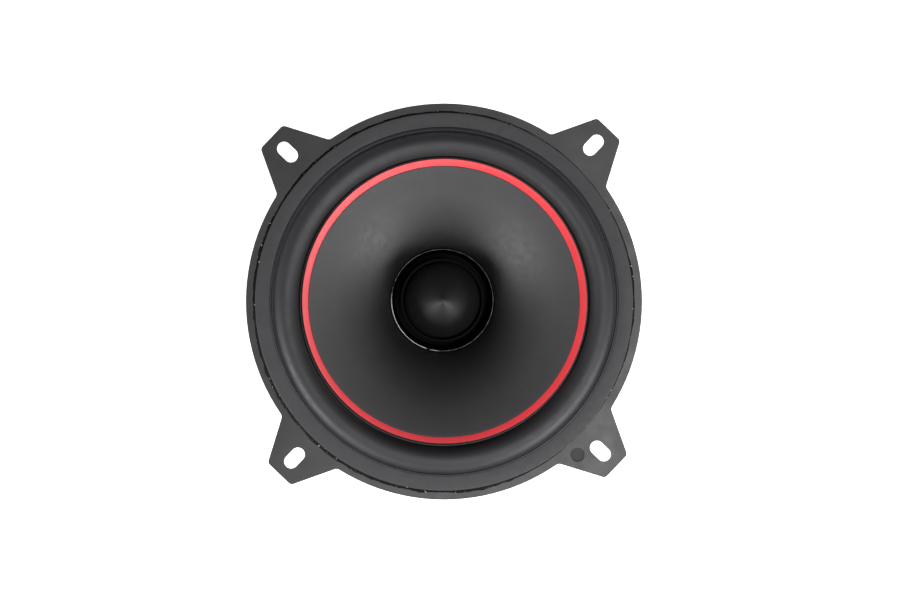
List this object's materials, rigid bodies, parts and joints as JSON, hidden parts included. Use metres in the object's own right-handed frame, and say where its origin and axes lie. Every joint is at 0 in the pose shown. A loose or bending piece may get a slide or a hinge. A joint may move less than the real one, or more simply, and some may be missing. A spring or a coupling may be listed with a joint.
{
  "type": "coaxial car speaker",
  "caption": "Round coaxial car speaker: stamped basket with slotted ears, flared cone with coloured trim ring, half-roll rubber surround and a pointed centre tweeter.",
  "frame": {"origin": "centre of the mounting plane, the rear face of the flange and its ears, on the speaker's axis", "axes": "+Z along the axis, the way the speaker faces; +X and +Y through two of the mounting ears; the terminals are midway between -X and -Y"},
  "size_m": [0.1564, 0.1564, 0.0642],
  "materials": {
    "black_painted_steel": "glossy black paint on pressed steel",
    "cone_poly": "satin dark grey injection-moulded polypropylene",
    "trim_red": "satin bright red lacquer",
    "surround_rubber": "satin butyl rubber",
    "gasket_rubber": "matte dense rubber",
    "bullet_gloss": "smooth satin-gloss black plastic",
    "housing_plastic": "satin black plastic",
    "kapton": "translucent amber polyimide",
    "former_aluminium": "bright thin aluminium sheet",
    "copper_winding": "enamelled copper wire, close wound",
    "spider_cloth": "resin-stiffened woven cloth",
    "zinc_steel": "zinc-plated steel",
    "ferrite": "sintered ferrite, dull dark grey",
    "neodymium": "nickel-plated magnet",
    "film": "thin pressed polymer film",
    "board": "phenolic fibre board",
    "brass_blade": "tin-plated brass",
    "solder": "solder",
    "capacitor_sleeve": "dark blue shrink sleeve",
    "tinsel": "braided tinsel copper",
    "wire_red": "red insulated wire",
    "wire_black": "black insulated wire"
  },
  "bodies": {
    "basket-body": {"basket": "black_painted_steel", "basket_rivets": "zinc_steel", "surround": "surround_rubber", "front_gasket": "gasket_rubber", "spider": "spider_cloth", "top_plate": "zinc_steel", "ferrite_magnet": "ferrite", "back_plate_with_pole": "zinc_steel", "tweeter_housing": "housing_plastic", "bullet_diffuser": "bullet_gloss", "tweeter_pot": "zinc_steel", "tweeter_magnet": "neodymium", "tweeter_pole_plate": "zinc_steel", "tweeter_diaphragm": "film", "tweeter_clamp_ring": "housing_plastic", "tweeter_washer": "zinc_steel", "tweeter_screw": "zinc_steel", "terminal_board": "board", "terminal_positive": "brass_blade", "terminal_negative": "brass_blade", "board_rivets": "zinc_steel", "blade_rivets": "zinc_steel", "solder_joints": "solder", "tweeter_capacitor": "capacitor_sleeve", "tinsel_lead_positive": "tinsel", "tinsel_lead_negative": "tinsel", "tweeter_lead_positive": "wire_red", "tweeter_lead_negative": "wire_black"},
    "cone-body": {"cone": "cone_poly", "cone_trim_ring": "trim_red", "voice_coil_former": "former_aluminium", "voice_coil_winding": "copper_winding"},
    "tweeter-coil-body": {"tweeter_coil_former": "kapton", "tweeter_coil_winding": "copper_winding"}
  },
  "joints": [
    {"name": "cone_excursion", "type": "slide", "parent": "basket-body", "child": "cone-body", "axis": [0, 0, 1], "range_m": [-0.004, 0.004], "stiffness_N_per_m": 1200, "deforming": ["surround", "spider", "tinsel_lead_positive", "tinsel_lead_negative"]},
    {"name": "tweeter_excursion", "type": "slide", "parent": "basket-body", "child": "tweeter-coil-body", "axis": [0, 0, 1], "range_m": [-0.0002, 0.0002], "stiffness_N_per_m": 600, "deforming": ["tweeter_diaphragm"]}
  ]
}
